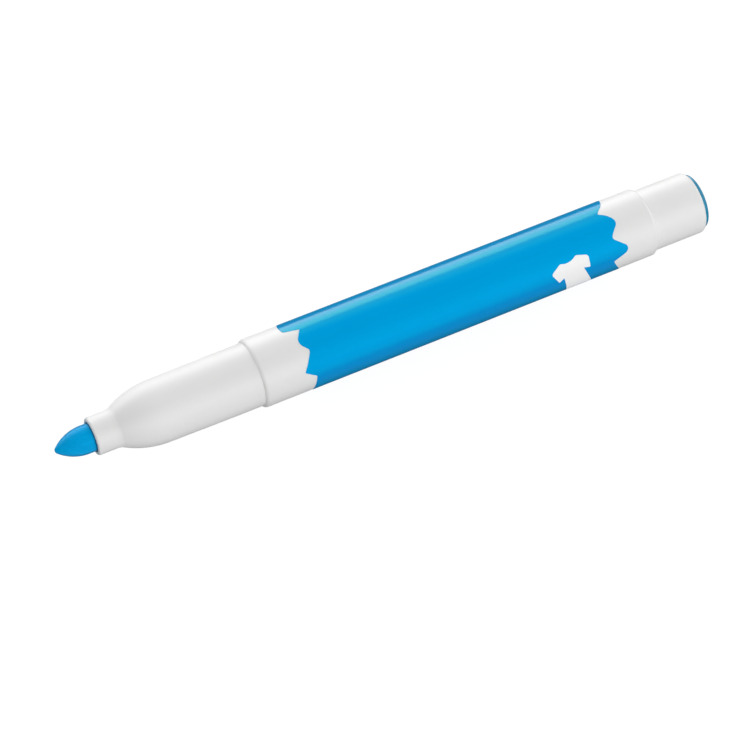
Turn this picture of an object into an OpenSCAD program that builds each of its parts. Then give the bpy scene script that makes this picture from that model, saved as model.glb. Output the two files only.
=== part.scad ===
// Fibre-tip textile marker without its cap, in millimetres.
// The pen lies along X with the nib towards -X. Z = 0 is the surface that it lies on, and the
// origin is below the middle of its length.
// Every piece is drawn along its own axis first: "a" is the distance from the nozzle's mouth
// towards the rear, and the nib stands out at negative a. lay() then lays the pen down.

/* [Barrel] */
// Outside diameter of the printed barrel
barrel_d = 12.8; // [12.2:0.1:15]
// Length of the barrel from its front shoulder to its rear edge
barrel_l = 78.9; // [66:0.1:110]
// Diameter of the chamber that holds the ink core
bore_d = 9.6; // [9:0.1:10.2]
// Radius that rounds the edge of the front shoulder
shoulder_edge_r = 0.8; // [0.2:0.05:1.2]
// Radius that rounds the rear edge of the barrel
rear_edge_r = 0.6; // [0.2:0.05:1.2]

/* [Neck] */
// Outside diameter of the nozzle that holds the nib
nozzle_d = 7; // [6.9:0.1:7.8]
// Length of the straight nozzle
nozzle_l = 4.3; // [3:0.1:7]
// Radius that rounds the nozzle's mouth
mouth_edge_r = 0.4; // [0.1:0.05:0.5]
// Radius in the corner between the nozzle and the flare
corner_r = 0.8; // [0.2:0.1:1.5]
// Length of the flare that swells from the nozzle to the grip
flare_l = 8.5; // [7:0.1:12]
// Outside diameter of the grip where the flare ends
grip_d = 11.6; // [11:0.1:12.1]
// Length of the grip from the flare to the shoulder
grip_l = 17.9; // [12:0.1:26]
// Outside diameter of the land that the cap seats on
land_d = 11.8; // [11.2:0.1:12.1]
// Length of that land in front of the shoulder
land_l = 6; // [3:0.1:9]

/* [Tail] */
// Outside diameter of the tail that the cap is posted on
tail_d = 11.6; // [11.2:0.1:12.1]
// Length of the tail
tail_l = 10.5; // [9:0.1:16]
// Radius that rounds the tail's end
tail_edge_r = 0.6; // [0.2:0.05:0.6]

/* [Nib] */
// Diameter of the fibre nib
nib_d = 5.2; // [4.8:0.1:5.5]
// Length of the nib from tip to rear end
nib_l = 27; // [24:0.5:34]
// Length that stands out of the nozzle
nib_out = 6.9; // [6:0.1:9]
// Length of the pointed nose
nose_l = 5.4; // [4.4:0.1:5.8]
// Angle at which the nose leaves the straight part of the nib
nose_angle = 2; // [0:0.5:10]
// Radius of the writing tip
tip_r = 0.7; // [0.4:0.05:1]
// Chamfer on the rear end that enters the ink core
nib_chamfer = 1; // [0.4:0.1:1.6]
// Air gap around the nib at the mouth
mouth_gap = 0.1; // [0.05:0.01:0.2]
// Depth of the air channels between the ribs that grip the nib
channel_gap = 0.2; // [0.15:0.01:0.35]
// Length of the nozzle's mouth in front of those ribs
mouth_l = 1; // [0.5:0.1:2]
// Number of ribs that grip the nib
seat_rib_n = 6; // [3:1:8]
// Width of a rib that grips the nib
seat_rib_w = 0.9; // [0.6:0.1:1.2]

/* [Ink core] */
// Diameter of the fibre core
core_d = 8.5; // [7.4:0.1:8.6]
// Thickness of the film wrapped round the core
wrap_t = 0.15; // [0.1:0.01:0.2]
// Length of the cone between the nib's seat and the chamber
cone_l = 4.5; // [3:0.1:6]
// Distance from the end of that cone to the front face of the core
stop_gap = 0.7; // [0.3:0.1:2]
// Number of ribs along the chamber
rib_n = 6; // [3:1:8]
// Width of a chamber rib
rib_w = 0.8; // [0.5:0.1:1.2]
// Height from the nib to the inner edge of the stops that the core rests against
stop_rise = 0.6; // [0.3:0.1:1]
// Outside diameter of the breather tube beside the core
tube_d = 1.2; // [1:0.1:1.5]
// Wall of the breather tube
tube_wall = 0.15; // [0.1:0.05:0.25]
// Gap around the breather tube
tube_gap = 0.05; // [0.03:0.01:0.1]

/* [Rear plug] */
// Step in diameter from the chamber up to the plug's seat
seat_step = 0.2; // [0.1:0.1:0.4]
// Distance from the tail's side in to the flange's rim
flange_inset = 0.6; // [0.4:0.05:0.7]
// Height that the flange stands out of the tail
flange_t = 0.8; // [0.5:0.1:1.2]
// Radius that rounds the flange
flange_edge_r = 0.5; // [0.2:0.05:0.5]
// Length of the plug's skirt inside the tail
skirt_l = 8; // [6:0.1:8.5]
// Wall of the skirt
skirt_wall = 1.1; // [0.8:0.1:1.5]
// Thickness of the plug's end wall
end_t = 1.2; // [0.8:0.1:2]
// Height of the snap bead around the skirt
bead_h = 0.12; // [0.05:0.01:0.2]
// Length of the snap bead along the skirt
bead_l = 1; // [0.6:0.1:1.4]
// Distance from the tail's end to the middle of the bead
bead_pos = 4.5; // [3.5:0.1:5]
// Clearance around the bead in its groove
bead_gap = 0.05; // [0.02:0.01:0.1]
// Chamfer on the front of the skirt
skirt_chamfer = 0.4; // [0.2:0.1:0.6]
// Length of the cross that holds the core off the skirt
spacer_l = 3; // [1:0.1:6]
// Thickness of the cross's blades
blade_t = 1; // [0.7:0.1:1.5]

/* [Print film] */
// Thickness of the printed film on the barrel
film_t = 0.05; // [0.03:0.01:0.1]
// Distance from the front shoulder to the film's even part
film_front = 10.1; // [7:0.1:14]
// Distance from the film's even part to the barrel's rear edge
film_rear = 10; // [7:0.1:14]
// Distance from the barrel's rear edge to the middle of the shirt window
shirt_pos = 17.6; // [14:0.1:26]
// Angle of the shirt window round the barrel, from the top towards -Y
shirt_angle = 89; // [50:1:120]
// Lean of the shirt window
shirt_lean = 9; // [-20:1:20]
// Height of the shirt window
shirt_h = 9; // [6:0.1:10]
// Width of the shirt window across its sleeves
shirt_w = 7.8; // [6:0.1:9]

/* [Hidden] */
$fn = 96;

white = "#f4f4f2";
print_blue = "#00a0e4";
ink_blue = "#0a9bdc";

nozzle_r = nozzle_d / 2;
grip_r = grip_d / 2;
land_r = land_d / 2;
barrel_r = barrel_d / 2;
tail_r = tail_d / 2;
bore_r = bore_d / 2;
nib_r = nib_d / 2;
core_r = core_d / 2;
wrap_r = core_r + wrap_t;
seat_r = bore_r + seat_step / 2;
flange_r = tail_r - flange_inset;
skirt_in_r = seat_r - skirt_wall;

// Stations along the axis
flare_a = nozzle_l + flare_l;
shoulder_a = flare_a + grip_l;
rear_a = shoulder_a + barrel_l;
body_l = rear_a + tail_l;
total_l = nib_out + body_l + flange_t;
cone_a = flare_a - cone_l;
core_a = flare_a + stop_gap;
skirt_a = body_l - skirt_l;
core_end_a = skirt_a - spacer_l;
core_l = core_end_a - core_a;
nib_end_a = nib_l - nib_out;
band_a0 = shoulder_a + film_front;
band_a1 = rear_a - film_rear;
axis_z = barrel_r + film_t;

// Arc that swells from the nozzle and meets the grip without a corner
flare_rise = grip_r - nozzle_r;
flare_r = (flare_l * flare_l + flare_rise * flare_rise) / (2 * flare_rise);
flare_angle = asin(flare_l / flare_r);
corner_t = corner_r * tan(flare_angle / 2);

// Arc of the nib's nose: it leaves the straight part at nose_angle and runs into the tip's ball
ball_l = nose_l - tip_r;
nose_r = (ball_l * ball_l + nib_r * nib_r - tip_r * tip_r)
    / (2 * (nib_r * cos(nose_angle) - ball_l * sin(nose_angle) - tip_r));
nose_c = [nib_r - nose_r * cos(nose_angle), nose_l - nib_out + nose_r * sin(nose_angle)];
ball_c = [0, tip_r - nib_out];
ball_angle = atan2(ball_c.y - nose_c.y, ball_c.x - nose_c.x);

// Ends of the print film: one list of corners for each tooth, [angle from the top towards -Y,
// height over the film's even part]. A bump is given by its two feet and its crest. Neighbours
// overlap, and their feet are inside the even part.
foot = -0.3;
front_teeth = [
    [[-66, foot], [-57, 3.3], [-12.5, 3.3], [-4, foot]],
    bump([-7, foot], [16.5, 1.6], [35.5, foot]),
    [[26, foot], [66.5, 2.4], [81, foot]],
    [[60, foot], [118, 1.3], [143, foot]],
    bump([129, foot], [158, 2.9], [190, foot]),
    [[174, foot], [206, 1.7], [231, foot]],
    [[217, foot], [250, 2.7], [272, foot]],
    bump([260, foot], [279, 1.6], [300, foot])
];
rear_teeth = [
    [[-80, foot], [-50, 3.3], [-24, 2.4], [-8, 0.9], [4, foot]],
    bump([-8.5, foot], [20, 2.8], [49, foot]),
    bump([39, foot], [68, 3.6], [89, foot]),
    [[68, foot], [124, 2.6], [150, foot]],
    bump([136, foot], [166, 3.2], [197, foot]),
    [[181, foot], [216, 2.1], [238, foot]],
    [[224, foot], [258, 3.1], [290, foot]]
];
tooth_root = 1;

function arc(c, r, from, to, n) =
    [for (i = [0:n]) c + r * [cos(from + (to - from) * i / n), sin(from + (to - from) * i / n)]];

function apart(pts) = [for (i = [0:len(pts) - 1]) if (i == 0 || norm(pts[i] - pts[i - 1]) > 0.001) pts[i]];

// Angle that an edge radius turns through to climb a step
function turn(step, r) = acos(max(0, 1 - step / r));

// Crest with round shoulders between two feet
function flank(root, crest, u) = [root.x + (crest.x - root.x) * u, root.y + (crest.y - root.y) * sin(90 * u)];
function bump(root0, crest, root1) = concat(
    [for (i = [0:5]) flank(root0, crest, i / 5)],
    [for (i = [4:-1:0]) flank(root1, crest, i / 5)]);

// Outline of the barrel from the mouth to the tail's end, as [radius, a]
function barrel_outline() =
    let (front = turn(barrel_r - land_r, shoulder_edge_r), rear = turn(barrel_r - tail_r, rear_edge_r))
    apart(concat(
        [[0, 0]],
        arc([nozzle_r - mouth_edge_r, mouth_edge_r], mouth_edge_r, -90, 0, 6),
        arc([nozzle_r + corner_r, nozzle_l - corner_t], corner_r, 180, 180 - flare_angle, 4),
        arc([grip_r - flare_r, flare_a], flare_r, -flare_angle * 0.9, 0, 10),
        [[land_r, shoulder_a - land_l], [land_r, shoulder_a]],
        arc([barrel_r - shoulder_edge_r, shoulder_a + shoulder_edge_r * sin(front)],
            shoulder_edge_r, -front, 0, 6),
        arc([barrel_r - rear_edge_r, rear_a - rear_edge_r * sin(rear)], rear_edge_r, 0, rear, 6),
        [[tail_r, rear_a]],
        arc([tail_r - tail_edge_r, body_l - tail_edge_r], tail_edge_r, 0, 90, 6),
        [[0, body_l]]));

// Hollow of the barrel: mouth, nib seat, cone, chamber and plug seat with its snap groove
function hollow_outline() = [
    [0, -1],
    [nib_r + mouth_gap, -1],
    [nib_r + mouth_gap, mouth_l],
    [nib_r + channel_gap, mouth_l],
    [nib_r + channel_gap, cone_a],
    [bore_r, flare_a],
    [bore_r, skirt_a],
    [seat_r, skirt_a],
    [seat_r, body_l - bead_pos - bead_l / 2 - bead_gap],
    [seat_r + bead_h + bead_gap, body_l - bead_pos - bead_l / 4 - bead_gap],
    [seat_r + bead_h + bead_gap, body_l - bead_pos + bead_l / 4 + bead_gap],
    [seat_r, body_l - bead_pos + bead_l / 2 + bead_gap],
    [seat_r, body_l + 1],
    [0, body_l + 1]
];

module lay() {
    translate([nib_out - total_l / 2, 0, axis_z]) rotate([0, 90, 0]) children();
}

// Ribs that stand inward from the hollow's wall to a round tip
module ribs(n, w, tip, from, to) {
    difference() {
        for (i = [0:n - 1])
            rotate([0, 0, i * 360 / n]) translate([0, -w / 2, from]) cube([barrel_r, w, to - from]);
        translate([0, 0, from - 1]) cylinder(r = tip, h = to - from + 2);
    }
}

module ring(r_in, r_out, from, to) {
    difference() {
        translate([0, 0, from]) cylinder(r = r_out, h = to - from);
        translate([0, 0, from - 1]) cylinder(r = r_in, h = to - from + 2);
    }
}

module barrel() {
    color(white) lay() difference() {
        rotate_extrude() polygon(barrel_outline());
        difference() {
            rotate_extrude() polygon(hollow_outline());
            ribs(seat_rib_n, seat_rib_w, nib_r, mouth_l, cone_a);
            ribs(rib_n, rib_w, nib_r + stop_rise, cone_a, core_a);
            ribs(rib_n, rib_w, wrap_r, core_a, core_end_a);
        }
    }
}

// Cutter that turns an outline of [angle, a] into a prism through the barrel's wall
module wall_prism(pts, mid) {
    rotate([0, 0, 180 + mid]) rotate([90, 0, 90]) linear_extrude(height = barrel_r + 1)
        polygon([for (p = pts) [barrel_r * sin(p.x - mid), p.y]]);
}

// One tooth of the film's end, which points along dir from station edge
module tooth(corners, edge, dir) {
    first = corners[0];
    last = corners[len(corners) - 1];
    pts = concat([[first.x, -tooth_root]], corners, [[last.x, -tooth_root]]);
    wall_prism([for (p = pts) [p.x, edge + dir * p.y]], (first.x + last.x) / 2);
}

// Plain short-sleeved shirt, as [along the pen, round the pen], with its neck up
module shirt_window() {
    half = shirt_w / 2;
    neck = 0.43 * half;
    half_right = [
        [neck, 0],
        [half, 0.12 * shirt_h],
        [half * 0.83, 0.4 * shirt_h],
        [half * 0.56, 0.34 * shirt_h],
        [half * 0.65, shirt_h]
    ];
    scoop = [for (i = [1:5]) [-neck * cos(30 * i), neck * 0.3 * sin(30 * i)]];
    outline = concat(
        half_right,
        [for (i = [4:-1:0]) [-half_right[i].x, half_right[i].y]],
        scoop);
    wall_prism([
        for (p = outline)
            let (u = p.x, v = p.y - shirt_h / 2)
            [shirt_angle + (v * cos(shirt_lean) - u * sin(shirt_lean)) / barrel_r * 180 / PI,
                rear_a - shirt_pos + u * cos(shirt_lean) + v * sin(shirt_lean)]
    ], shirt_angle);
}

module print_film() {
    color(print_blue) lay() difference() {
        intersection() {
            ring(barrel_r, barrel_r + film_t, shoulder_a + shoulder_edge_r, rear_a - rear_edge_r);
            union() {
                translate([0, 0, band_a0]) cylinder(r = barrel_r + 1, h = band_a1 - band_a0);
                for (t = front_teeth) tooth(t, band_a0, -1);
                for (t = rear_teeth) tooth(t, band_a1, 1);
            }
        }
        shirt_window();
    }
}

module nib_shape() {
    rotate_extrude() polygon(apart(concat(
        [[0, -nib_out]],
        arc(ball_c, tip_r, -90, ball_angle, 6),
        arc(nose_c, nose_r, ball_angle, -nose_angle, 10),
        [[nib_r, nib_end_a - nib_chamfer], [nib_r - nib_chamfer, nib_end_a], [0, nib_end_a]])));
}

module nib() {
    color(ink_blue) lay() nib_shape();
}

module tube_place() {
    translate([core_r - tube_d / 2 - tube_gap, 0, core_a]) children();
}

// Open groove in the core's side that the tube lies in, under the wrap
module tube_groove() {
    groove_d = tube_d + 2 * tube_gap;
    cylinder(d = groove_d, h = core_l + 2);
    translate([0, -groove_d / 2, 0]) cube([groove_d, groove_d, core_l + 2]);
}

module ink_core() {
    color("#2aa9e0") lay() difference() {
        translate([0, 0, core_a]) cylinder(r = core_r, h = core_l);
        nib_shape();
        tube_place() translate([0, 0, -1]) tube_groove();
    }
}

module core_wrap() {
    color("#dfe8ee") lay() ring(core_r, wrap_r, core_a, core_end_a);
}

module breather_tube() {
    color("#f0f0f0") lay() tube_place() difference() {
        cylinder(d = tube_d, h = core_l);
        translate([0, 0, -1]) cylinder(d = tube_d - 2 * tube_wall, h = core_l + 2);
    }
}

module rear_plug() {
    bead_a = body_l - bead_pos;
    color(print_blue) lay() {
        rotate_extrude() polygon(apart(concat(
            [
                [0, body_l - end_t],
                [skirt_in_r, body_l - end_t],
                [skirt_in_r, skirt_a],
                [seat_r - skirt_chamfer, skirt_a],
                [seat_r, skirt_a + skirt_chamfer],
                [seat_r, bead_a - bead_l / 2],
                [seat_r + bead_h, bead_a - bead_l / 4],
                [seat_r + bead_h, bead_a + bead_l / 4],
                [seat_r, bead_a + bead_l / 2],
                [seat_r, body_l],
                [flange_r, body_l]
            ],
            arc([flange_r - flange_edge_r, body_l + flange_t - flange_edge_r], flange_edge_r, 0, 90, 6),
            [[0, body_l + flange_t]])));
        for (side = [0, 90])
            rotate([0, 0, side]) translate([-skirt_in_r - 0.2, -blade_t / 2, core_end_a])
                cube([2 * skirt_in_r + 0.4, blade_t, body_l - end_t / 2 - core_end_a]);
    }
}

barrel();
print_film();
nib();
ink_core();
core_wrap();
breather_tube();
rear_plug();
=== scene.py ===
import math

import bmesh
import bpy
from bpy.props import FloatProperty, FloatVectorProperty, IntProperty, PointerProperty
from mathutils import Matrix, Vector


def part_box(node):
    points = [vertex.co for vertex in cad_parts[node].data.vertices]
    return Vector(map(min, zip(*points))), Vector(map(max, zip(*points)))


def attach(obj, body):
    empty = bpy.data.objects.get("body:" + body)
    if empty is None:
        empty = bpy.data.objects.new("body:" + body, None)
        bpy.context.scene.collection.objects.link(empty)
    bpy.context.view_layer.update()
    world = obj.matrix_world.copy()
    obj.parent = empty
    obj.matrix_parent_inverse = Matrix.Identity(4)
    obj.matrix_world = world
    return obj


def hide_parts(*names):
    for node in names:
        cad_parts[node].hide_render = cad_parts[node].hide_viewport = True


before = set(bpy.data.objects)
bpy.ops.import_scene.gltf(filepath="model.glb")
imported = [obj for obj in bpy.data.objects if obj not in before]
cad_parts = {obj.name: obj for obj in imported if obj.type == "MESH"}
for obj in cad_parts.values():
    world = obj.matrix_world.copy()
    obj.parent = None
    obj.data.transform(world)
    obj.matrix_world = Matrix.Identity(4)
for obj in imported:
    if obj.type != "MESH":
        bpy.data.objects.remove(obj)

bl_info = {
    "name": "Fabric Marking Pen",
    "version": (1, 0, 0),
    "blender": (4, 5, 0),
    "location": "View3D > Sidebar > Marking Pen",
    "description": "Builds a fibre-tip fabric marking pen and a plain stage for it",
    "category": "Object",
}

MM = 0.001
MERGED = 1e-7  # vertices nearer than this become one
SHARP = math.radians(32)  # edges that turn further than this stay sharp
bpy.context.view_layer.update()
BARREL_LOW, BARREL_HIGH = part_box("barrel")
FILM_LOW, FILM_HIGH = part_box("print_film")
NIB_LOW, NIB_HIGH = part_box("nib")
PLUG_LOW, PLUG_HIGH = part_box("rear_plug")
CORE_LOW, CORE_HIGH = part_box("ink_core")
WRAP_LOW, WRAP_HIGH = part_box("core_wrap")

# The pen lies along X. "a" is the distance from the nozzle's mouth towards the rear, and "r" the
# distance from the pen's axis.
MOUTH_X = BARREL_LOW.x
AXIS_Z = (FILM_LOW.z + FILM_HIGH.z) / 2
BODY_A = BARREL_HIGH.x - MOUTH_X


def half_width(low, high):
    """Radius of a round piece that lies along X."""
    return (high.y - low.y) / 2


def length(name, description, default, most=1):
    """A size in metres for the sidebar."""
    return FloatProperty(
        name=name, description=description, default=default, subtype="DISTANCE",
        unit="LENGTH", precision=5, min=0, max=most)


def angle(name, description, degrees):
    """An angle for the sidebar."""
    return FloatProperty(
        name=name, description=description, default=math.radians(degrees),
        subtype="ANGLE", unit="ROTATION")


def colour(name, description, default):
    """A linear colour for the sidebar."""
    return FloatVectorProperty(
        name=name, description=description, default=default, subtype="COLOR",
        size=3, min=0, max=1)


def power(name, description, default):
    """The power of a lamp for the sidebar."""
    return FloatProperty(
        name=name, description=description, default=default, min=0, unit="POWER")


class BarrelSettings(bpy.types.PropertyGroup):
    nozzle_radius: length("Nozzle radius", "Outside radius of the nozzle", 3.5 * MM)
    nozzle_length: length("Nozzle length", "Length of the straight nozzle", 4.3 * MM)
    mouth_round: length("Mouth edge", "Radius that rounds the nozzle's mouth", 0.4 * MM)
    mouth_gap: length("Mouth gap", "Gap round the nib at the nozzle's mouth", 0.18 * MM)
    mouth_depth: length("Mouth depth", "Depth of the mouth in front of the ribs", 1 * MM)
    nozzle_corner: length(
        "Nozzle corner", "Reach of the soft corner between nozzle and flare", 0.8 * MM)
    flare_length: length("Flare length", "Length of the flare that swells to the grip", 8.5 * MM)
    grip_radius: length("Grip radius", "Outside radius of the grip", 5.8 * MM)
    grip_length: length("Grip length", "Length from the flare to the shoulder", 17.9 * MM)
    land_radius: length(
        "Cap land radius", "Outside radius of the land that the cap seats on", 5.9 * MM)
    land_length: length("Cap land length", "Length of that land", 6 * MM)
    land_corner: length(
        "Cap land corner", "Reach of the soft corner between grip and land", 0.6 * MM)
    radius: length(
        "Barrel radius", "Outside radius of the printed barrel",
        half_width(BARREL_LOW, BARREL_HIGH))
    barrel_length: length(
        "Barrel length", "Length from the shoulder to the rear edge", 78.9 * MM)
    shoulder_round: length("Shoulder edge", "Radius that rounds the front shoulder", 0.8 * MM)
    rear_round: length("Rear edge", "Radius that rounds the barrel's rear edge", 0.6 * MM)
    tail_radius: length("Tail radius", "Outside radius of the tail", 5.8 * MM)
    tail_round: length("Tail edge", "Radius that rounds the tail's end", 0.6 * MM)
    bore_radius: length("Chamber radius", "Radius of the chamber for the ink core", 4.8 * MM)
    cone_length: length(
        "Cone length", "Length of the cone between the nib's seat and the chamber", 4.5 * MM)
    channel_depth: length("Channel depth", "Depth of the air channels round the nib", 0.2 * MM)
    stop_gap: length("Stop gap", "Gap between the nib and the core's stops", 0.6 * MM)
    ribs: IntProperty(
        name="Ribs", description="Number of ribs in each row inside", default=6, min=3, max=12)
    seat_rib: length("Seat rib", "Width of a rib that grips the nib", 0.9 * MM)
    core_rib: length("Core rib", "Width of a rib that holds the core", 0.8 * MM)
    segments: IntProperty(
        name="Segments", description="Number of facets round the pen", default=160, min=32,
        max=256)
    plastic: colour("Plastic", "Colour of the moulded plastic", (0.830, 0.830, 0.826))


class FilmSettings(bpy.types.PropertyGroup):
    radius: length(
        "Film radius", "Outside radius of the printed film", half_width(FILM_LOW, FILM_HIGH))
    strip: angle("Strip", "Angle of one flat strip of the wrapped film", 2.5)
    shirt_centre: length(
        "Shirt place", "Distance from the shoulder to the middle of the shirt", 61.3 * MM)
    shirt_angle: angle("Shirt angle", "Angle of the shirt round the barrel, from the top", 89)
    shirt_lean: angle("Shirt lean", "Lean of the shirt", 9)
    shirt_sway: angle(
        "Shirt sway", "Lean of the shirt's body beyond that of its shoulders", 8.4)
    shirt_height: length("Shirt height", "Height of the shirt", 9 * MM)
    shirt_width: length("Shirt width", "Width of the shirt across its sleeves", 7.8 * MM)
    ink: colour("Print", "Colour of the printed film", (0.0, 0.375, 0.812))
    shirt_ink: colour("Shirt", "Colour of the printed shirt", (0.970, 0.970, 0.970))


class NibSettings(bpy.types.PropertyGroup):
    radius: length(
        "Nib radius", "Radius of the nib's straight part", half_width(NIB_LOW, NIB_HIGH))
    nose_length: length("Nose length", "Length of the pointed nose", 5.4 * MM)
    nose_angle: angle("Nose angle", "Angle at which the nose leaves the straight part", 2)
    tip_radius: length("Tip radius", "Radius of the writing tip", 0.7 * MM)
    # Reach of the painted shade ring where the nib enters the nozzle's mouth
    soaked: length("Soaked ring", "Reach of the dark ring at the nozzle's mouth", 0.3 * MM)
    chamfer: length("Rear chamfer", "Chamfer on the end that enters the core", 1 * MM)
    fibre: colour("Fibre", "Colour of the inked fibre", (0.0, 0.345, 0.755))


class PlugSettings(bpy.types.PropertyGroup):
    flange_inset: length(
        "Flange inset", "Distance from the tail's side in to the flange's rim", 0.6 * MM)
    flange_round: length("Flange edge", "Radius that rounds the flange", 0.5 * MM)
    seat_radius: length("Seat radius", "Radius of the plug's seat", 4.9 * MM)
    skirt_length: length("Skirt length", "Length of the skirt inside the tail", 8 * MM)
    skirt_wall: length("Skirt wall", "Wall of the skirt", 1.1 * MM)
    skirt_chamfer: length("Skirt chamfer", "Chamfer that leads the skirt in", 0.4 * MM)
    end_wall: length("End wall", "Thickness of the plug's end", 1.2 * MM)
    bead_height: length("Bead height", "Height of the snap bead", 0.12 * MM)
    bead_length: length("Bead length", "Length of the snap bead", 1 * MM)
    bead_place: length("Bead place", "Distance from the tail's end to the bead", 4.5 * MM)
    bead_gap: length("Bead gap", "Gap round the bead in its groove", 0.05 * MM)
    blade: length("Blade", "Thickness of the cross that holds the core", 1 * MM)
    gate_radius: length("Gate mark", "Radius of the moulding gate's recess", 0.6 * MM)
    gate_depth: length("Gate depth", "Depth of the moulding gate's recess", 0.12 * MM)
    plastic: colour("Plastic", "Colour of the plug", (0.005, 0.230, 0.400))


class StageSettings(bpy.types.PropertyGroup):
    target: FloatVectorProperty(
        name="Target", description="Point that the camera looks at", subtype="XYZ", unit="LENGTH",
        default=(-1.864 * MM, 0.094 * MM, -7.778 * MM), size=3)
    azimuth: angle("Azimuth", "Angle of the camera round the pen", -26.735)
    elevation: angle("Elevation", "Angle of the camera above the floor", 51.81)
    distance: length("Distance", "Distance from the camera to its target", 0.60468)
    lens: FloatProperty(
        name="Lens", description="Focal length", default=160, min=20, max=400, unit="CAMERA")
    floor_size: length("Floor", "Half width of the floor", 3, most=10)
    floor_tone: colour("Floor tone", "Colour of the floor", (0.50, 0.50, 0.50))
    ambient: FloatProperty(
        name="Ambient", description="Level of the light from all round", default=0.25, min=0,
        max=2)
    strip_power: power("Back strip", "Power of the strip low behind the pen", 3.4)
    back_power: power("Back softbox", "Power of the softbox behind and above the pen", 1.05)
    front_power: power("Front softbox", "Power of the softbox in front of the pen", 4.2)
    tail_power: power("Tail softbox", "Power of the softbox past the pen's tail", 1.1)


# Outlines and turned bodies

def place(a, r):
    """Point above the axis, at distance a from the mouth and r from the axis."""
    return Vector((MOUTH_X + a, 0, AXIS_Z + r))


class Outline:
    """A chain of vertices drawn over the axis and then turned round it."""

    def __init__(self, a, r):
        self.bm = bmesh.new()
        self.start = self.end = self.bm.verts.new(place(a, r))
        self.corners = []

    def to(self, a, r, reach=0.0):
        """Straight on to a point. With a reach, its corner is rounded that far on both sides."""
        vert = self.bm.verts.new(place(a, r))
        self.bm.edges.new((self.end, vert))
        self.end = vert
        if reach:
            self.corners.append((vert, reach))

    def arc(self, a, r, turn, steps=10):
        """Round the centre at a and r. A positive turn runs over the centre towards the rear."""
        made = bmesh.ops.spin(
            self.bm, geom=[self.end], cent=place(a, r), axis=(0, 1, 0), dvec=(0, 0, 0),
            angle=turn, steps=steps, use_merge=False, use_duplicate=False)
        self.end = made["geom_last"][0]

    def closed(self):
        """Joins the last point to the first one."""
        self.bm.edges.new((self.end, self.start))
        return self

    def turned(self, segments):
        """Rounds the corners and turns the chain into a closed body of that many segments."""
        for vert, reach in self.corners:
            bmesh.ops.bevel(
                self.bm, geom=[vert], offset=reach, offset_type="OFFSET", segments=6,
                profile=0.5, affect="VERTICES", material=-1, clamp_overlap=False)
        bmesh.ops.spin(
            self.bm, geom=self.bm.verts[:] + self.bm.edges[:], cent=place(0, 0), axis=(1, 0, 0),
            dvec=(0, 0, 0), angle=math.tau, steps=segments, use_merge=True, use_duplicate=False)
        bmesh.ops.remove_doubles(self.bm, verts=self.bm.verts[:], dist=MERGED)
        bmesh.ops.recalc_face_normals(self.bm, faces=self.bm.faces[:])
        return self.bm


def climb(step, radius):
    """Angle that an edge of that radius turns through to climb a step."""
    return math.acos(max(0.0, 1 - step / radius))


def add_rib(bm, corners, width, middle):
    """Adds a rib with the outline of the corners, [a, r], and a width at its inner edge."""
    inner = min(r for _, r in corners)
    sweep = 2 * math.asin(width / 2 / inner)
    origin = place(0, 0)
    turned = Matrix.Translation(origin) @ Matrix.Rotation(middle - sweep / 2, 4, "X") \
        @ Matrix.Translation(-origin)
    face = bm.faces.new([bm.verts.new(turned @ place(a, r)) for a, r in corners])
    bmesh.ops.spin(
        bm, geom=[face], cent=origin, axis=(1, 0, 0), dvec=(0, 0, 0), angle=sweep, steps=3,
        use_merge=False, use_duplicate=False)


def wear_layer(bm, rims, width):
    """Paints how near each vertex is to a rim, [a, r], as the layer "edge": polished rims on
    moulded pieces, a painted shade ring on the nib.
    """
    layer = bm.verts.layers.float.new("edge")
    for v in bm.verts:
        a, r = v.co.x - MOUTH_X, math.hypot(v.co.y, v.co.z - AXIS_Z)
        v[layer] = max(max(0.0, 1 - math.hypot(a - ra, r - rr) / width) for ra, rr in rims)


def add_piece(name, bm, material, slot, *nodes):
    """Makes the object, which rides on the pen, and hides the CAD nodes that it stands for."""
    mesh = bpy.data.meshes.new(name)
    bm.to_mesh(mesh)
    bm.free()
    mesh.materials.append(material)
    mesh.shade_smooth()
    mesh.set_sharp_from_angle(angle=SHARP)
    obj = bpy.data.objects.new(name, mesh)
    bpy.context.scene.collection.objects.link(obj)
    even = obj.modifiers.new("Even shading", "WEIGHTED_NORMAL")
    even.keep_sharp = True
    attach(obj, "root")
    if nodes:
        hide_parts(*nodes)


# Materials

def feed(tree, socket, value):
    """Feeds an input with another node's output, or sets it to a plain number or colour."""
    if isinstance(value, bpy.types.NodeSocket):
        tree.links.new(value, socket)
    elif socket.type == "RGBA":
        socket.default_value = (*value, 1)
    else:
        socket.default_value = value


def feed_all(tree, sockets, values):
    """Feeds the inputs of a node by name."""
    for name, value in values.items():
        feed(tree, sockets[name], value)


def add_node(tree, kind, **values):
    """Adds a node. Values named after its inputs feed them, the others are its own settings."""
    node = tree.nodes.new(kind)
    for key, value in values.items():
        label = key.replace("_", " ")
        found = [s for s in node.inputs if s.name.lower() == label and s.enabled]
        if found:
            feed(tree, found[0], value)
        else:
            setattr(node, key, value)
    return node


def joined(tree, kind, *values):
    """Output of a new node, whose inputs are fed in their order."""
    node = tree.nodes.new(kind)
    for socket, value in zip(node.inputs, values):
        feed(tree, socket, value)
    return node.outputs[0]


def new_group(name, inputs, outputs):
    """An empty shader group and its two ends. Sockets are given as name: (kind, default)."""
    tree = bpy.data.node_groups.new(name, "ShaderNodeTree")
    for label, (kind, default) in inputs.items():
        socket = tree.interface.new_socket(label, in_out="INPUT", socket_type="NodeSocket" + kind)
        if default is not None:
            socket.default_value = default
    for label, kind in outputs.items():
        tree.interface.new_socket(label, in_out="OUTPUT", socket_type="NodeSocket" + kind)
    given = tree.nodes.new("NodeGroupInput").outputs
    return tree, given, tree.nodes.new("NodeGroupOutput").inputs


def stretched(tree, vector, scale):
    """Coordinates with their own scale along each axis."""
    return add_node(tree, "ShaderNodeMapping", vector=vector, scale=scale).outputs[0]


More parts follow.
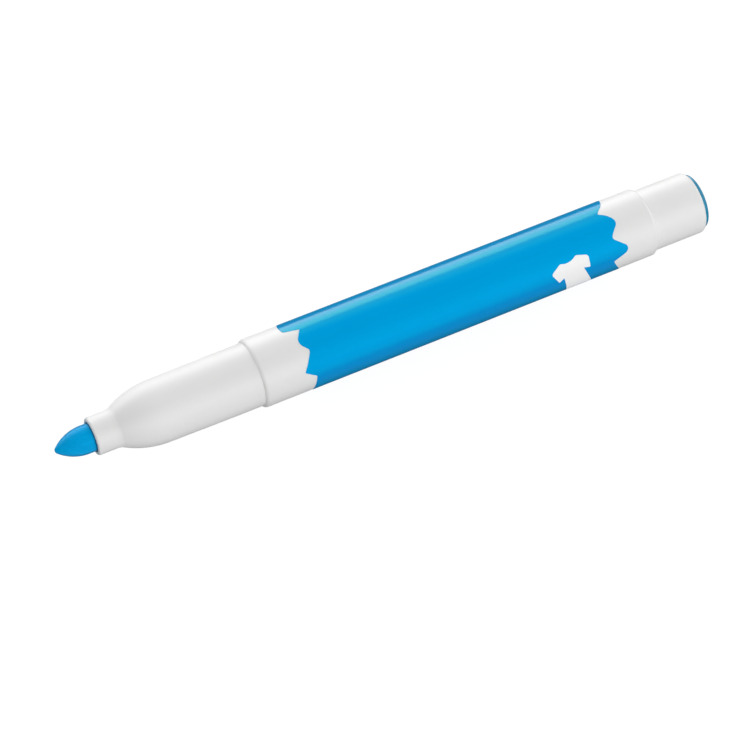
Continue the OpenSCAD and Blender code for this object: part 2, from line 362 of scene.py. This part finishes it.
def noise(tree, vector, scale, detail, roughness=0.5):
    """Output of a noise texture, from 0 to 1."""
    node = add_node(
        tree, "ShaderNodeTexNoise", vector=vector, scale=scale, detail=detail,
        roughness=roughness)
    return node.outputs[0]


def math_node(tree, operation, first, second, third=None, clamp=False):
    """Result of a calculation with sockets or plain numbers."""
    node = add_node(tree, "ShaderNodeMath", operation=operation, use_clamp=clamp)
    for socket, value in zip(node.inputs, (first, second, third)):
        if value is not None:
            feed(tree, socket, value)
    return node.outputs[0]


def mix_colour(tree, factor, first, second, blend="MIX"):
    """Colour between two colours, which are sockets or plain values."""
    node = add_node(tree, "ShaderNodeMix", data_type="RGBA", blend_type=blend)
    for socket, value in zip(
            (node.inputs["Factor"], *node.inputs[6:8]), (factor, first, second)):
        feed(tree, socket, value)
    return node.outputs[2]


def by_slant(tree, stops):
    """Colour or value that follows how slanted the surface is to the look, 0 square on and 1 edge
    on. Each stop is a slant and a colour or a plain value."""
    node = tree.nodes.new("ShaderNodeValToRGB")
    elements = node.color_ramp.elements
    elements[1].position, elements[0].position = stops[-1][0], stops[0][0]
    for slant, _ in stops[1:-1]:
        elements.new(slant)
    for element, (_, value) in zip(elements, stops):
        element.color = (*value, 1) if isinstance(value, tuple) else (value, value, value, 1)
    facing = add_node(tree, "ShaderNodeLayerWeight", blend=0.5).outputs["Facing"]
    tree.links.new(facing, node.inputs[0])
    return node.outputs[0]


def near_rim(tree):
    """How near the surface is to a rim of its piece, as wear_layer painted it."""
    return add_node(tree, "ShaderNodeAttribute", attribute_name="edge").outputs["Fac"]


def bumped(tree, height, distance, strength=1.0):
    """Normal of a bump whose full height stands for that distance in metres."""
    node = add_node(
        tree, "ShaderNodeBump", height=height, distance=distance, strength=strength)
    return node.outputs[0]


def moulded_skin():
    """Group for moulded plastic: slow drift of colour, a fine skin and rims that handling
    polishes."""
    tree, given, out = new_group(
        "Moulded skin",
        {"Vector": ("Vector", None), "Colour": ("Color", (0.8, 0.8, 0.8, 1)),
         "Drift": ("Float", 0.05), "Roughness": ("Float", 0.35), "Edge": ("Float", 0.0)},
        {"Colour": "Color", "Roughness": "Float", "Height": "Float"})
    cloud_scale, grain_scale, peel_scale = 90, 1400, 700
    grain_roughness, polish, grain_height = 0.10, -0.16, 0.35
    where = given["Vector"]
    cloud = noise(tree, where, cloud_scale, detail=3)
    streak = noise(tree, stretched(tree, where, (60, 420, 420)), 1, detail=4)
    grain = noise(tree, where, grain_scale, detail=4)
    peel = noise(tree, where, peel_scale, detail=2)
    shade = math_node(tree, "MULTIPLY", math_node(tree, "ADD", cloud, streak), given["Drift"])
    rough = math_node(tree, "MULTIPLY_ADD", grain, grain_roughness, given["Roughness"])
    handled = math_node(tree, "MULTIPLY", given["Edge"], cloud)
    feed_all(tree, out, {
        "Colour": mix_colour(tree, shade, given["Colour"], (0, 0, 0), "MULTIPLY"),
        "Roughness": math_node(tree, "MULTIPLY_ADD", handled, polish, rough, clamp=True),
        "Height": math_node(tree, "MULTIPLY_ADD", grain, grain_height, peel)})
    return tree


def fibre_bundle():
    """Group for pressed fibre: bundles that run along the pen, as a mask and a height."""
    tree, given, out = new_group(
        "Fibre bundle",
        {"Vector": ("Vector", None), "Thickness": ("Float", 0.0003)},
        {"Mask": "Float", "Height": "Float"})
    clump_scale, strand_scale, clump_share, groove = 0.28, 1.6, 0.45, -0.6
    along = stretched(tree, given["Vector"], (0.12, 1, 1))
    count = math_node(tree, "DIVIDE", 1.0, given["Thickness"])
    bundles = noise(tree, along, count, detail=5, roughness=0.62)
    clumps = noise(tree, along, math_node(tree, "MULTIPLY", count, clump_scale), detail=2)
    strands = add_node(
        tree, "ShaderNodeTexVoronoi", feature="F1", vector=along,
        scale=math_node(tree, "MULTIPLY", count, strand_scale)).outputs["Distance"]
    fine = math_node(tree, "MULTIPLY", bundles, 1 - clump_share)
    feed_all(tree, out, {
        "Mask": math_node(tree, "MULTIPLY_ADD", clumps, clump_share, fine),
        "Height": math_node(tree, "MULTIPLY_ADD", strands, groove, bundles)})
    return tree


def shared_group(maker):
    """A group that is built once and then used again."""
    name = maker.__name__.replace("_", " ").capitalize()
    return bpy.data.node_groups.get(name) or maker()


def place_group(tree, maker, **values):
    """Puts a shared group in a material, feeds its inputs and returns its outputs."""
    node = tree.nodes.new("ShaderNodeGroup")
    node.node_tree = shared_group(maker)
    feed_all(tree, node.inputs, {key.capitalize(): value for key, value in values.items()})
    return node.outputs


def new_material(name, tint):
    """A material with its tree, its shader and its Object coordinates."""
    material = bpy.data.materials.new(name)
    material.use_nodes = True
    material.diffuse_color = (*tint, 1)
    tree = material.node_tree
    shader = tree.nodes["Principled BSDF"]
    where = tree.nodes.new("ShaderNodeTexCoord").outputs["Object"]
    return material, tree, shader, where


def moulded_plastic(name, tint, drift, roughness, depth):
    """Moulded plastic with polished rims."""
    material, tree, shader, where = new_material(name, tint)
    skin = place_group(
        tree, moulded_skin, vector=where, colour=tint, drift=drift, roughness=roughness,
        edge=near_rim(tree))
    feed_all(tree, shader.inputs, {
        "Base Color": skin["Colour"],
        "Roughness": skin["Roughness"],
        "Normal": bumped(tree, skin["Height"], depth),
        "IOR": 1.49})
    return material


# Painted shade that darkens the ink and turns it towards teal by slant, and how much the varnish
# mirrors, by slant
PAINTED_SLANT_SHADE = (
    (0.22, (1, 1, 1)), (0.33, (1, 0.78, 0.88)), (0.42, (1, 0.76, 0.86)), (0.50, (1, 0.75, 0.82)),
    (0.63, (1, 0.70, 0.70)), (0.75, (1, 0.60, 0.54)), (0.95, (1, 0.72, 0.72)))
VARNISH = ((0.14, 0.2), (0.22, 0.95), (0.32, 0.83), (0.43, 0.6), (0.55, 0.26), (0.64, 0.02))


def printed_film(name, tint, roughness, sheen, slant_shade=()):
    """Thin printed film: even ink, a faint pull along the pen and a smooth varnished top. Given
    slant stops, painted shade darkens the ink and turns it towards teal where the film is seen
    edge on."""
    material, tree, shader, where = new_material(name, tint)
    cloud_scale, drift, line_roughness, line_height = 110, 0.035, 0.08, 0.5
    lines = noise(tree, stretched(tree, where, (25, 900, 900)), 1, detail=5, roughness=0.6)
    cloud = noise(tree, where, cloud_scale, detail=3)
    shade = math_node(tree, "MULTIPLY", math_node(tree, "ADD", lines, cloud), drift)
    ink = mix_colour(tree, shade, tint, (0, 0, 0), "MULTIPLY")
    # Painted shade: where the film is seen edge on, the ink is darkened and turned towards teal.
    if slant_shade:
        ink = mix_colour(tree, 1.0, ink, by_slant(tree, slant_shade), "MULTIPLY")
    relief = math_node(tree, "MULTIPLY_ADD", lines, line_height, cloud)
    feed_all(tree, shader.inputs, {
        "Base Color": ink,
        "Roughness": math_node(tree, "MULTIPLY_ADD", lines, line_roughness, roughness),
        "Normal": bumped(tree, relief, 0.004 * MM),
        "IOR": 1.46,
        "Specular IOR Level": by_slant(tree, VARNISH),
        "Specular Tint": sheen})
    return material


def felt(name, tint, pale, thickness, depth, contrast, roughness):
    """Pressed fibre: bundles of two tones, slightly fuzzy, with painted shade along its rim and
    where it is seen edge on.
    """
    material, tree, shader, where = new_material(name, tint)
    bundle = place_group(tree, fibre_bundle, vector=where, thickness=thickness)
    mask = bundle["Mask"]
    tone = math_node(tree, "MULTIPLY_ADD", mask, contrast, 0.5 - contrast / 2, clamp=True)
    dark, soaked = (tuple(share * c for c in tint) for share in (0.86, 0.25))
    # Painted shade: the fibre is darkened near its rim, where it enters the nozzle's mouth.
    ink = mix_colour(tree, near_rim(tree), mix_colour(tree, tone, dark, pale), soaked)
    # Painted shade: the fibre is darkened where it is seen edge on.
    painted_edge_shade = by_slant(tree, ((0.5, 1), (0.9, 0.5)))
    feed_all(tree, shader.inputs, {
        "Base Color": mix_colour(tree, 1.0, ink, painted_edge_shade, "MULTIPLY"),
        "Roughness": math_node(tree, "MULTIPLY_ADD", mask, 0.2, roughness),
        "Normal": bumped(tree, bundle["Height"], depth),
        "Specular IOR Level": 0.15,
        "Specular Tint": (0.2, 1, 1),
        "Sheen Weight": 0.012,
        "Sheen Roughness": 0.5})
    return material


def clear_plastic(name, tint, stretch, see_through):
    """Thin drawn plastic film or tube, with faint draw lines."""
    material, tree, shader, where = new_material(name, tint)
    lines = noise(tree, stretched(tree, where, stretch), 1, detail=4)
    feed_all(tree, shader.inputs, {
        "Base Color": mix_colour(tree, lines, tint, tuple(0.9 * c for c in tint)),
        "Roughness": math_node(tree, "MULTIPLY_ADD", lines, 0.25, 0.12),
        "Normal": bumped(tree, lines, 0.01 * MM, strength=0.6),
        "Subsurface Weight": see_through,
        "Subsurface Radius": (0.6, 0.6, 0.6),
        "Subsurface Scale": 0.5 * MM})
    return material


# The print's outline, from the film's seam round to the seam again. Each knot is its angle from
# the top towards -Y in degrees, its distance behind the shoulder in millimetres, and the reach of
# its rounding in millimetres.
SEAM = 185.5
FRONT_TEAR = (
    (SEAM - 360, 9.7, 0), (-154, 8.4, 0), (-136.3, 9.8, 0), (-110, 7.4, 0.3), (-94.2, 9.55, 0),
    (-81, 8.3, 0.8), (-63.4, 9.9, 0), (-57, 7.6, 0.3), (-26, 6.6, 1.2), (-12.8, 6.95, 0.4),
    (-6.3, 9.9, 0.15), (17, 8.2, 1.1), (33.5, 9.9, 0.45), (66.5, 7.8, 0.15), (79.5, 9.92, 0.3),
    (114, 9.35, 0.3), (134, 9.6, 0.2), (158, 7.0, 1.2), (SEAM, 9.7, 0))
REAR_TEAR = (
    (SEAM - 360, 70.0, 0), (-167.5, 69.3, 0), (-144, 70.9, 0.4), (-128.7, 69.25, 0),
    (-102, 71.9, 0.5), (-75.7, 69.1, 0), (-50, 72.4, 0.5), (-22, 71.4, 0.8), (-8, 69.85, 0.3),
    (-3.2, 69.55, 0), (3.3, 70.65, 0.5), (13, 71.6, 0.45), (22.5, 71.9, 0.6), (36, 70.5, 0.4),
    (44, 69.9, 0.6), (64, 72.6, 0.55), (74.5, 72.45, 0.55), (85.5, 69.5, 0.3), (124, 71.45, 0.4),
    (141.4, 69.45, 0.2), (166, 72.1, 1.0), (SEAM, 70.0, 0))
# Half of the shirt: across from its middle in shares of half its width, down from its neck in
# shares of its height, and the rounding in millimetres. The body sways from the chest down.
SHIRT = (
    (0.43, 0.0, 0.3), (1.0, 0.12, 0.5), (0.83, 0.40, 0.25), (0.53, 0.34, 0), (0.66, 1.0, 0))
NECK = (0.0, 0.095, 1.3)
CHEST = 0.15
# The shirt's top below the film's, and its wall, in shares of the film's wall
SHIRT_SUNK, SHIRT_WALL = 0.2, 0.6


def draw_loop(bm, knots, radius, shoulder_x):
    """Adds a closed chain with rounded corners on the flat sheet and returns its edges."""
    verts = [
        bm.verts.new((shoulder_x + x, -math.radians(turn) * radius, 0)) for turn, x, _ in knots]
    edges = {bm.edges.new(pair) for pair in zip(verts, verts[1:] + verts[:1])}
    before = set(bm.edges) - edges
    for vert, (_, _, reach) in zip(verts, knots):
        if reach:
            bmesh.ops.bevel(
                bm, geom=[vert], offset=reach * MM, offset_type="OFFSET", segments=7,
                profile=0.5, affect="VERTICES", material=-1, clamp_overlap=False)
    return [e for e in bm.edges if e not in before]


def flat_sheet(loops, radius, shoulder_x):
    """A flat sheet between loops of knots, the first of them its rim and the others windows."""
    bm = bmesh.new()
    edges = []
    for knots in loops:
        edges += draw_loop(bm, knots, radius, shoulder_x)
    bmesh.ops.triangle_fill(
        bm, use_beauty=True, use_dissolve=False, edges=edges, normal=(0, 0, 1))
    return bm


def shirt_knots(film):
    """The shirt's outline as knots: its right side down, its left side up and its neck."""
    half, tall = film.shirt_width / 2, film.shirt_height
    left = [(-x, y, reach) for x, y, reach in reversed(SHIRT)]
    knots = []
    for wide, low, reach in (*SHIRT, *left, NECK):
        x = wide * half + math.tan(film.shirt_sway) * max(0, low - CHEST) * tall
        y = (low - 0.5) * tall
        across = x * math.cos(film.shirt_lean) + y * math.sin(film.shirt_lean)
        down = y * math.cos(film.shirt_lean) - x * math.sin(film.shirt_lean)
        turn = math.degrees(film.shirt_angle + down / film.radius)
        knots.append((turn, film.shirt_centre + across, reach))
    return knots


def wrap(bm, radius, thickness, strip):
    """Wraps a flat sheet round the pen at that radius and gives it a wall towards the axis."""
    steps = int(math.tau / strip)
    low = min(v.co.y for v in bm.verts)
    high = max(v.co.y for v in bm.verts)
    for i in range(-steps, steps):
        y = (i + 0.5) * strip * radius
        if low < y < high:
            bmesh.ops.bisect_plane(
                bm, geom=bm.verts[:] + bm.edges[:] + bm.faces[:], dist=MERGED,
                plane_co=(0, y, 0), plane_no=(0, 1, 0))
    for v in bm.verts:
        turn = v.co.y / radius
        v.co = (v.co.x, radius * math.sin(turn), AXIS_Z + radius * math.cos(turn))
    bmesh.ops.remove_doubles(bm, verts=bm.verts[:], dist=10 * MERGED)
    bm.normal_update()
    for face in bm.faces:
        middle = face.calc_center_median() - place(0, 0)
        if face.normal.dot(Vector((0, middle.y, middle.z))) < 0:
            face.normal_flip()
    bmesh.ops.solidify(bm, geom=bm.faces[:], thickness=thickness)


# Operators

class MARKER_OT_barrel(bpy.types.Operator):
    """Build the moulded barrel: nozzle, flare, grip, shoulder, barrel and tail, and its inside"""
    bl_idname = "marker.barrel"
    bl_label = "Barrel"

    def execute(self, context):
        scene = context.scene
        s, nib, plug = scene.marker_barrel, scene.marker_nib, scene.marker_plug
        flare_a = s.nozzle_length + s.flare_length
        shoulder_a = flare_a + s.grip_length
        rear_a = shoulder_a + s.barrel_length
        rise = s.grip_radius - s.nozzle_radius
        flare_r = (s.flare_length ** 2 + rise ** 2) / (2 * rise)
        flare_turn = math.asin(s.flare_length / flare_r)
        front = climb(s.radius - s.land_radius, s.shoulder_round)
        front_a = shoulder_a + s.shoulder_round * math.sin(front)
        mouth_r = nib.radius + s.mouth_gap
        channel_r = nib.radius + s.channel_depth
        cone_a = flare_a - s.cone_length
        skirt_a = BODY_A - plug.skirt_length
        bead_a = BODY_A - plug.bead_place
        gap = plug.bead_gap
        groove_r = plug.seat_radius + plug.bead_height + gap
        eased = 0.06 * MM

        line = Outline(s.mouth_depth, mouth_r)
        line.to(0, mouth_r, eased)
        line.to(0, s.nozzle_radius - s.mouth_round)
        line.arc(s.mouth_round, s.nozzle_radius - s.mouth_round, math.pi / 2)
        line.to(s.nozzle_length, s.nozzle_radius, s.nozzle_corner)
        line.arc(flare_a, s.grip_radius - flare_r, flare_turn, steps=20)
        line.to(shoulder_a - s.land_length, s.land_radius, s.land_corner)
        line.to(shoulder_a, s.land_radius)
        line.arc(front_a, s.radius - s.shoulder_round, front, steps=14)
        line.to(rear_a - s.rear_round, s.radius)
        line.arc(rear_a - s.rear_round, s.radius - s.rear_round, math.pi / 2, steps=12)
        line.to(rear_a, s.tail_radius)
        line.to(BODY_A - s.tail_round, s.tail_radius)
        line.arc(BODY_A - s.tail_round, s.tail_radius - s.tail_round, math.pi / 2, steps=12)
        line.to(BODY_A, plug.seat_radius, eased)
        line.to(bead_a + plug.bead_length / 2 + gap, plug.seat_radius)
        line.to(bead_a + plug.bead_length / 4 + gap, groove_r)
        line.to(bead_a - plug.bead_length / 4 - gap, groove_r)
        line.to(bead_a - plug.bead_length / 2 - gap, plug.seat_radius)
        line.to(skirt_a, plug.seat_radius)
        line.to(skirt_a, s.bore_radius)
        line.to(flare_a, s.bore_radius)
        line.to(cone_a, channel_r)
        line.to(s.mouth_depth, channel_r)
        bm = line.closed().turned(s.segments)

        # Three rows of ribs, each from a to a and from r to r, whose roots sink into the wall
        core_a, core_end_a = CORE_LOW.x - MOUTH_X, CORE_HIGH.x - MOUTH_X
        root = 0.1 * MM
        rows = (
            (s.mouth_depth, cone_a, nib.radius, channel_r + root, s.seat_rib),
            (cone_a, core_a, nib.radius + s.stop_gap, s.bore_radius + root, s.core_rib),
            (core_a, core_end_a, half_width(WRAP_LOW, WRAP_HIGH), s.bore_radius + root,
             s.core_rib))
        for i in range(s.ribs):
            for a, end_a, inner_r, outer_r, width in rows:
                corners = ((a, inner_r), (end_a, inner_r), (end_a, outer_r), (a, outer_r))
                add_rib(bm, corners, width, i * math.tau / s.ribs)
        bmesh.ops.recalc_face_normals(bm, faces=bm.faces[:])

        inset = 0.2 * MM
        rims = (
            (inset / 2, s.nozzle_radius - inset / 2),
            (shoulder_a + 1.5 * inset, s.radius - inset),
            (rear_a - inset, s.radius - inset),
            (BODY_A - inset, s.tail_radius - inset))
        wear_layer(bm, rims, width=1.2 * MM)
        white = moulded_plastic(
            "White moulded plastic", tuple(s.plastic), drift=0.03, roughness=0.38,
            depth=0.006 * MM)
        add_piece("barrel_moulding", bm, white, "barrel_plastic", "barrel")
        return {"FINISHED"}


class MARKER_OT_print_film(bpy.types.Operator):
    """Build the printed film with its torn ends, and the plain shirt in its window"""
    bl_idname = "marker.print_film"
    bl_label = "Print"

    def execute(self, context):
        s, barrel = context.scene.marker_film, context.scene.marker_barrel
        shoulder_x = MOUTH_X + barrel.nozzle_length + barrel.flare_length + barrel.grip_length
        wall = s.radius - barrel.radius
        tear = [(turn, x * MM, reach) for turn, x, reach in FRONT_TEAR + REAR_TEAR[::-1]]
        shirt = shirt_knots(s)

        bm = flat_sheet((tear, shirt), s.radius, shoulder_x)
        wrap(bm, s.radius, wall, s.strip)
        blue = printed_film(
            "Blue printed film", tuple(s.ink), roughness=0.14, sheen=(0.0, 1, 0.2),
            slant_shade=PAINTED_SLANT_SHADE)
        add_piece("printed_film", bm, blue, "print_ink", "print_film")

        bm = flat_sheet((shirt,), s.radius, shoulder_x)
        wrap(bm, s.radius - wall * SHIRT_SUNK, wall * SHIRT_WALL, s.strip)
        pale = printed_film(
            "White printed shirt", tuple(s.shirt_ink), roughness=0.26, sheen=(1, 1, 1))
        add_piece("printed_shirt", bm, pale, "barrel_plastic")
        return {"FINISHED"}


class MARKER_OT_nib(bpy.types.Operator):
    """Build the fibre nib: pointed nose, straight shank and chamfered rear end"""
    bl_idname = "marker.nib"
    bl_label = "Nib"

    def execute(self, context):
        s, barrel = context.scene.marker_nib, context.scene.marker_barrel
        tip_a, end_a = NIB_LOW.x - MOUTH_X, NIB_HIGH.x - MOUTH_X
        ball = s.nose_length - s.tip_radius
        slope = s.nose_angle
        nose_r = (ball ** 2 + s.radius ** 2 - s.tip_radius ** 2) / (
            2 * (s.radius * math.cos(slope) - ball * math.sin(slope) - s.tip_radius))
        centre_a = tip_a + s.nose_length + nose_r * math.sin(slope)
        centre_r = s.radius - nose_r * math.cos(slope)
        ball_a = tip_a + s.tip_radius
        join = math.atan2(-centre_r, centre_a - ball_a)

        line = Outline(tip_a, 0)
        line.arc(ball_a, 0, join, steps=12)
        line.arc(centre_a, centre_r, math.pi / 2 - slope - join, steps=20)
        for a in (-s.soaked, -s.soaked / 2, 0, s.soaked / 2, s.soaked, end_a - s.chamfer):
            line.to(a, s.radius)
        line.to(end_a, s.radius - s.chamfer)
        line.to(end_a, 0)
        bm = line.turned(barrel.segments)
        # The layer marks the painted shade ring where the nib enters the mouth; the loops above
        # give it room.
        wear_layer(bm, ((0, s.radius),), width=s.soaked)
        blue = felt(
            "Inked nib fibre", tuple(s.fibre), pale=(0.0, 0.43, 0.88), thickness=0.35 * MM,
            depth=0.02 * MM, contrast=1.6, roughness=0.3)
        add_piece("fibre_nib", bm, blue, "nib_fibre", "nib")
        return {"FINISHED"}


class MARKER_OT_rear_plug(bpy.types.Operator):
    """Build the rear plug: flange, skirt with a snap bead, and the cross that holds the core"""
    bl_idname = "marker.rear_plug"
    bl_label = "Rear plug"

    def execute(self, context):
        s, barrel = context.scene.marker_plug, context.scene.marker_barrel
        end_a = PLUG_HIGH.x - MOUTH_X
        skirt_a = BODY_A - s.skirt_length
        bead_a = BODY_A - s.bead_place
        flange_r = barrel.tail_radius - s.flange_inset
        inner_r = s.seat_radius - s.skirt_wall
        inner_round, gate_slope, eased, root = 0.3 * MM, 0.1 * MM, 0.05 * MM, 0.2 * MM

        line = Outline(BODY_A - s.end_wall, 0)
        line.to(BODY_A - s.end_wall, inner_r, inner_round)
        line.to(skirt_a, inner_r)
        line.to(skirt_a, s.seat_radius - s.skirt_chamfer)
        line.to(skirt_a + s.skirt_chamfer, s.seat_radius)
        line.to(bead_a - s.bead_length / 2, s.seat_radius)
        line.to(bead_a - s.bead_length / 4, s.seat_radius + s.bead_height)
        line.to(bead_a + s.bead_length / 4, s.seat_radius + s.bead_height)
        line.to(bead_a + s.bead_length / 2, s.seat_radius)
        line.to(BODY_A, s.seat_radius)
        line.to(BODY_A, flange_r)
        line.to(end_a - s.flange_round, flange_r)
        line.arc(end_a - s.flange_round, flange_r - s.flange_round, math.pi / 2, steps=12)
        line.to(end_a, s.gate_radius + gate_slope, eased)
        line.to(end_a - s.gate_depth, s.gate_radius, eased)
        line.to(end_a - s.gate_depth, 0)
        bm = line.turned(barrel.segments)

        spacer_a = PLUG_LOW.x - MOUTH_X
        deep_a = BODY_A - s.end_wall / 2
        for turn in (0, math.pi / 2):
            grown = Matrix.Translation(place((spacer_a + deep_a) / 2, 0)) \
                @ Matrix.Rotation(turn, 4, "X") \
                @ Matrix.Diagonal((deep_a - spacer_a, s.blade, 2 * (inner_r + root), 1))
            bmesh.ops.create_cube(bm, size=1, matrix=grown)
        inset = 0.1 * MM
        wear_layer(bm, ((end_a - inset, flange_r - inset),), width=0.8 * MM)
        blue = moulded_plastic(
            "Blue moulded plastic", tuple(s.plastic), drift=0.05, roughness=0.26,
            depth=0.006 * MM)
        add_piece("rear_plug_moulding", bm, blue, "plug_plastic", "rear_plug")
        return {"FINISHED"}


class MARKER_OT_inner_parts(bpy.types.Operator):
    """Finish the parts inside: ink core, its wrap and the breather tube"""
    bl_idname = "marker.inner_parts"
    bl_label = "Inner parts"

    def execute(self, context):
        ink = tuple(context.scene.marker_nib.fibre)
        finishes = {
            "ink_core": felt(
                "Core fibre", ink, pale=(0.12, 0.50, 0.84), thickness=0.5 * MM, depth=0.03 * MM,
                contrast=1.2, roughness=0.6),
            "core_wrap": clear_plastic(
                "Wrapping film", (0.70, 0.78, 0.84), stretch=(40, 1500, 1500), see_through=0.3),
            "breather_tube": clear_plastic(
                "Breather tube", (0.86, 0.86, 0.86), stretch=(60, 3000, 3000), see_through=0.2),
        }
        for name, material in finishes.items():
            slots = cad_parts[name].material_slots
            if not slots:
                raise RuntimeError(f"{name} has no material slot")
            for slot in slots:
                slot.material = material
        return {"FINISHED"}


# Each softbox: its setting, its place and size in metres, and whether glossy surfaces mirror it
SOFTBOXES = {
    "Back strip": ("strip_power", (0.0, 0.55, 0.215), (0.85, 0.43), True),
    "Back softbox": ("back_power", (-0.2, 0.45, 0.45), (1.2, 0.3), False),
    "Front softbox": ("front_power", (0.05, -0.62, 0.27), (1.2, 0.47), False),
    "Tail softbox": ("tail_power", (0.6, 0.0, 0.27), (0.6, 0.4), True),
}


def seen_rays(tree):
    """1 for rays that see the background, straight, mirrored or through glass, and 1 for straight
    ones alone."""
    path = tree.nodes.new("ShaderNodeLightPath").outputs
    straight = path["Is Camera Ray"]
    passed = math_node(tree, "MAXIMUM", path["Is Glossy Ray"], path["Is Transmission Ray"])
    return math_node(tree, "MAXIMUM", straight, passed), straight


def floor_material(tone):
    """Matt floor that looks white and keeps a faint shadow."""
    material, tree, shader, where = new_material("Pale floor", tone)
    cloud = math_node(tree, "MULTIPLY", noise(tree, where, 30, detail=3), 0.02)
    feed_all(tree, shader.inputs, {
        "Base Color": mix_colour(tree, cloud, tone, (0.8, 0.8, 0.8)),
        "Roughness": 0.9,
        "Specular IOR Level": 0.0})
    seen, straight = seen_rays(tree)
    mirrored_glow, seen_glow = 0.08, 0.94
    strength = math_node(
        tree, "MULTIPLY_ADD", straight, seen_glow - mirrored_glow, mirrored_glow)
    glow = add_node(tree, "ShaderNodeEmission", color=(1, 1, 1), strength=strength)
    matt = add_node(tree, "ShaderNodeBsdfDiffuse", color=(0.12, 0.12, 0.12))
    both = joined(tree, "ShaderNodeAddShader", glow.outputs[0], matt.outputs[0])
    mixed = joined(tree, "ShaderNodeMixShader", seen, shader.outputs[0], both)
    tree.links.new(mixed, tree.nodes["Material Output"].inputs["Surface"])
    return material


def place_facing(name, data, at, direction):
    """Puts a lamp or a camera at a point, looking in a direction."""
    obj = bpy.data.objects.new(name, data)
    bpy.context.scene.collection.objects.link(obj)
    obj.location = at
    obj.rotation_euler = direction.to_track_quat("-Z", "Y").to_euler()
    return obj


def add_floor(size, tone):
    """The floor, which isn't part of the pen."""
    bm = bmesh.new()
    bmesh.ops.create_grid(bm, x_segments=8, y_segments=8, size=size)
    mesh = bpy.data.meshes.new("floor")
    bm.to_mesh(mesh)
    bm.free()
    mesh.materials.append(floor_material(tone))
    floor = bpy.data.objects.new("floor", mesh)
    bpy.context.scene.collection.objects.link(floor)


def add_softbox(name, watts, at, size, mirrored):
    """A rectangular area light at a point, turned towards the middle of the pen."""
    data = bpy.data.lights.new(name, "AREA")
    data.shape = "RECTANGLE"
    data.size, data.size_y = size
    data.energy = watts
    lamp = place_facing(name, data, at, Vector((0, 0, AXIS_Z)) - Vector(at))
    lamp.visible_glossy = mirrored


def light_all_round(scene, level):
    """A world that lights at that level and is white where it is seen."""
    scene.world = scene.world or bpy.data.worlds.new("World")
    scene.world.use_nodes = True
    tree = scene.world.node_tree
    tree.nodes.clear()
    around = add_node(tree, "ShaderNodeBackground", color=(1, 1, 1), strength=level)
    white = add_node(tree, "ShaderNodeBackground", color=(1, 1, 1), strength=1.0)
    seen, _ = seen_rays(tree)
    mixed = joined(tree, "ShaderNodeMixShader", seen, around.outputs[0], white.outputs[0])
    tree.links.new(mixed, tree.nodes.new("ShaderNodeOutputWorld").inputs["Surface"])


class MARKER_OT_stage(bpy.types.Operator):
    """Set up the floor, the soft studio light and the camera"""
    bl_idname = "marker.stage"
    bl_label = "Stage"

    def execute(self, context):
        s, scene = context.scene.marker_stage, context.scene
        add_floor(s.floor_size, tuple(s.floor_tone))
        for name, (setting, at, size, mirrored) in SOFTBOXES.items():
            add_softbox(name, getattr(s, setting), at, size, mirrored)
        light_all_round(scene, s.ambient)
        scene.view_settings.view_transform = "Standard"

        data = bpy.data.cameras.new("Camera")
        data.lens = s.lens
        data.sensor_width = 36
        back = Vector((
            math.sin(s.azimuth) * math.cos(s.elevation),
            -math.cos(s.azimuth) * math.cos(s.elevation),
            math.sin(s.elevation)))
        scene.camera = place_facing("Camera", data, Vector(s.target) + back * s.distance, -back)
        return {"FINISHED"}


class MARKER_PT_panel(bpy.types.Panel):
    """Lists the pieces of the pen and its stage"""
    bl_idname = "MARKER_PT_panel"
    bl_label = "Marking Pen"
    bl_space_type = "VIEW_3D"
    bl_region_type = "UI"
    bl_category = "Marking Pen"

    def draw(self, context):
        for operator in OPERATORS:
            self.layout.operator(operator.bl_idname)
        for owner in SETTINGS:
            box = self.layout.box()
            box.label(text=owner.removeprefix("marker_").capitalize())
            group = getattr(context.scene, owner)
            for name in group.bl_rna.properties.keys():
                if name not in {"rna_type", "name"}:
                    box.prop(group, name)


OPERATORS = (
    MARKER_OT_barrel, MARKER_OT_print_film, MARKER_OT_nib, MARKER_OT_rear_plug,
    MARKER_OT_inner_parts, MARKER_OT_stage)
SETTINGS = {
    "marker_barrel": BarrelSettings, "marker_film": FilmSettings, "marker_nib": NibSettings,
    "marker_plug": PlugSettings, "marker_stage": StageSettings}


def register():
    """Adds the settings, the operators and the panel."""
    for cls in (*SETTINGS.values(), *OPERATORS, MARKER_PT_panel):
        bpy.utils.register_class(cls)
    for name, group in SETTINGS.items():
        setattr(bpy.types.Scene, name, PointerProperty(type=group))


def unregister():
    """Takes them away again."""
    for name in SETTINGS:
        delattr(bpy.types.Scene, name)
    for cls in (MARKER_PT_panel, *reversed(OPERATORS), *reversed(SETTINGS.values())):
        bpy.utils.unregister_class(cls)


def main():
    """Builds the pen and its stage."""
    register()
    for operator in OPERATORS:
        group, name = operator.bl_idname.split(".")
        getattr(getattr(bpy.ops, group), name)()


if __name__ == "__main__":
    main()
